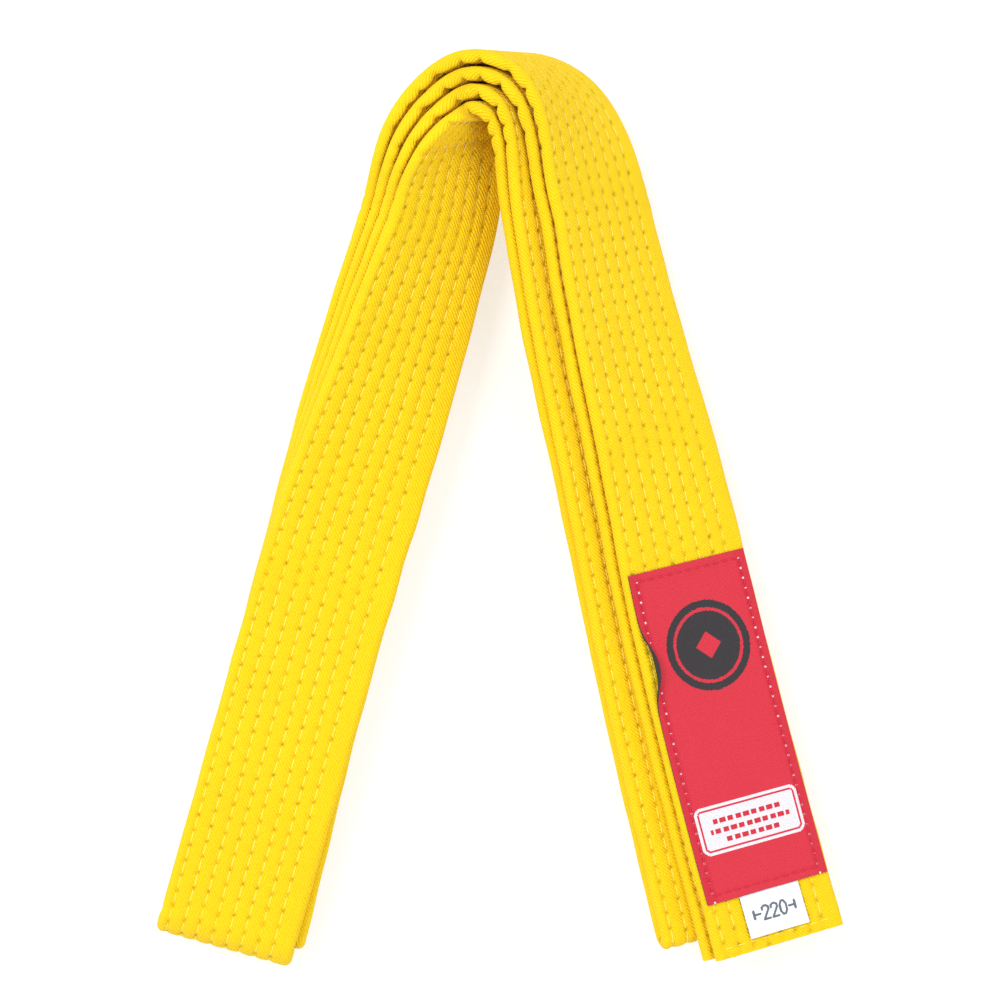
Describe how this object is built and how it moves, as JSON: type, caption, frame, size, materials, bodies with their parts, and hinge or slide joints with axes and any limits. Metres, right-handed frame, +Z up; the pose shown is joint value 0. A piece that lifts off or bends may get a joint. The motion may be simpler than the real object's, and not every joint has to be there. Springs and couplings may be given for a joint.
{
  "type": "martial arts belt",
  "caption": "Yellow cotton martial arts belt with lengthwise rows of stitching, a red sewn label and a white size tag, folded up and laid down as an arch.",
  "frame": {"origin": "centre of the footprint, on the surface the folded belt lies on", "axes": "+Z up, +Y towards the top of the arch, +X from the left leg to the right leg with the label"},
  "size_m": [0.2091, 0.279, 0.0456],
  "materials": {
    "cover": "yellow cotton twill",
    "core": "unbleached cotton",
    "row_thread": "yellow sewing thread",
    "label": "red woven label",
    "label_thread": "red sewing thread",
    "size_tag": "white satin"
  },
  "bodies": {
    "belt": {"cover_main": "cover", "core_ply_face_main": "core", "core_ply_back_main": "core", "row_thread_1_main": "row_thread", "row_thread_2_main": "row_thread", "row_thread_3_main": "row_thread", "row_thread_4_main": "row_thread", "row_thread_5_main": "row_thread", "row_thread_6_main": "row_thread", "row_thread_7_main": "row_thread", "row_thread_8_main": "row_thread", "hem_thread_plain_end": "row_thread"},
    "label_end": {"cover_label_end": "cover", "core_ply_face_label_end": "core", "core_ply_back_label_end": "core", "row_thread_1_label_end": "row_thread", "row_thread_2_label_end": "row_thread", "row_thread_3_label_end": "row_thread", "row_thread_4_label_end": "row_thread", "row_thread_5_label_end": "row_thread", "row_thread_6_label_end": "row_thread", "row_thread_7_label_end": "row_thread", "row_thread_8_label_end": "row_thread", "hem_thread_label_end": "row_thread", "label": "label", "label_thread": "label_thread"},
    "size_tag": {"size_tag": "size_tag"}
  },
  "joints": [
    {"name": "label_end_lift", "type": "hinge", "parent": "belt", "child": "label_end", "pos_m": [0.04825, 0.0198, 0.02165], "axis": [-0.8197, -0.2284, 0.5253], "range_deg": [0, 90]},
    {"name": "size_tag_flip", "type": "hinge", "parent": "label_end", "child": "size_tag", "pos_m": [0.0814, -0.11514, 0.02086], "axis": [-0.9265, -0.2273, 0.2999], "range_deg": [0, 165]}
  ]
}
